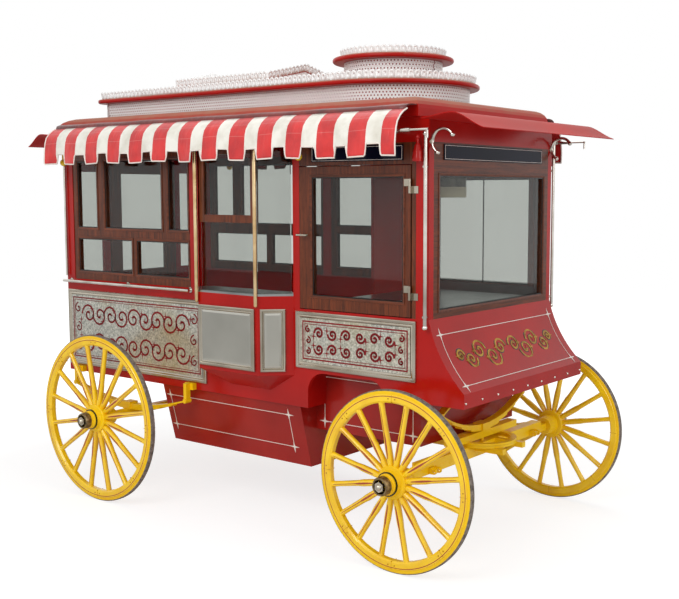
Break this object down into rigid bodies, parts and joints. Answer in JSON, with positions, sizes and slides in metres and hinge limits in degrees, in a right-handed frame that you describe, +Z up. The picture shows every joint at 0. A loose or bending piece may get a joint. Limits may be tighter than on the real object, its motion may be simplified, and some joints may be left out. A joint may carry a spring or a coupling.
{
  "type": "horse-drawn popcorn wagon",
  "caption": "Cut-under horse-drawn popcorn wagon with spoked wooden wheels, glazed red cabin, side serving bay, striped awnings and white roof galleries.",
  "frame": {"origin": "on the ground under the middle of the wagon's overall box", "axes": "+X forward along the wagon, +Y to the side away from the serving bay, +Z up"},
  "size_m": [3.547, 2.068, 2.6619],
  "materials": {
    "red_paint": "gloss",
    "dark_red_paint": "gloss",
    "yellow_paint": "gloss",
    "white_paint": "gloss",
    "varnished_wood": "gloss",
    "maple": "satin",
    "nickel": "satin",
    "brass_tube": "satin",
    "mirror_glass": "polished",
    "sign_glass": "gloss",
    "window_glass": "polished",
    "awning_cloth": "matte",
    "awning_cover": "satin",
    "bulb": "gloss",
    "tyre_rubber": "matte"
  },
  "bodies": {
    "wagon_body": {"awning_bars": "nickel", "awning_bulbs": "bulb", "awning_covers": "awning_cover", "awnings": "awning_cloth", "bay_counter": "nickel", "bay_glass": "window_glass", "bay_head": "red_paint", "bay_posts": "brass_tube", "bay_sash": "varnished_wood", "cabin_frame": "red_paint", "cabin_glass": "window_glass", "case_shelf": "maple", "case_tray": "nickel", "corner_lamps": "red_paint", "corner_poles": "nickel", "end_hoods": "red_paint", "fifth_wheel_head": "yellow_paint", "floor_boards": "red_paint", "front_apron": "red_paint", "front_spring": "yellow_paint", "front_window_frame": "varnished_wood", "gallery_bands": "white_paint", "gallery_crests": "white_paint", "gallery_flanges": "red_paint", "handrails": "nickel", "hinge_jambs": "nickel", "hood_brackets": "nickel", "partition": "dark_red_paint", "popper_kettle": "nickel", "rear_axle": "yellow_paint", "rear_panels": "red_paint", "rear_springs": "yellow_paint", "roof": "red_paint", "serving_bay": "red_paint", "side_walls": "red_paint", "side_window_frames": "varnished_wood", "sign_mirrors": "mirror_glass", "sign_mouldings": "nickel", "skylight": "white_paint", "tank_box": "red_paint", "transom_signs": "sign_glass", "wheel_well_box": "red_paint"},
    "front_gear": {"front_axle": "yellow_paint", "axle_bed": "yellow_paint", "fifth_wheel_plate": "yellow_paint", "shaft_couplings": "yellow_paint"},
    "popcorn_door_body": {"popcorn_door": "varnished_wood", "popcorn_door_glass": "window_glass", "popcorn_door_fittings": "nickel"},
    "rear_door_body": {"rear_door": "varnished_wood", "rear_door_glass": "window_glass"},
    "wheel_body_front_near": {"wheel_front_near": "yellow_paint", "tyre_front_near": "tyre_rubber"},
    "wheel_body_front_far": {"wheel_front_far": "yellow_paint", "tyre_front_far": "tyre_rubber"},
    "wheel_body_rear_near": {"wheel_rear_near": "yellow_paint", "tyre_rear_near": "tyre_rubber"},
    "wheel_body_rear_far": {"wheel_rear_far": "yellow_paint", "tyre_rear_far": "tyre_rubber"}
  },
  "joints": [
    {"name": "steering", "type": "hinge", "parent": "wagon_body", "child": "front_gear", "pos_m": [1.3165, 0, 0.49], "axis": [0, 0, 1], "range_deg": [-25, 25]},
    {"name": "wheel_front_near_spin", "type": "hinge", "parent": "front_gear", "child": "wheel_body_front_near", "pos_m": [1.3165, -0.815, 0.457], "axis": [0, 1, 0], "continuous": true},
    {"name": "wheel_front_far_spin", "type": "hinge", "parent": "front_gear", "child": "wheel_body_front_far", "pos_m": [1.3165, 0.815, 0.457], "axis": [0, 1, 0], "continuous": true},
    {"name": "wheel_rear_near_spin", "type": "hinge", "parent": "wagon_body", "child": "wheel_body_rear_near", "pos_m": [-0.8365, -0.916, 0.506], "axis": [0, 1, 0], "continuous": true},
    {"name": "wheel_rear_far_spin", "type": "hinge", "parent": "wagon_body", "child": "wheel_body_rear_far", "pos_m": [-0.8365, 0.916, 0.506], "axis": [0, 1, 0], "continuous": true},
    {"name": "popcorn_door_hinge", "type": "hinge", "parent": "wagon_body", "child": "popcorn_door_body", "pos_m": [1.2825, -0.642, 1.6], "axis": [0, 0, 1], "range_deg": [0, 95]},
    {"name": "rear_door_hinge", "type": "hinge", "parent": "wagon_body", "child": "rear_door_body", "pos_m": [-1.5065, -0.29, 1.4], "axis": [0, 0, 1], "range_deg": [0, 110]}
  ]
}
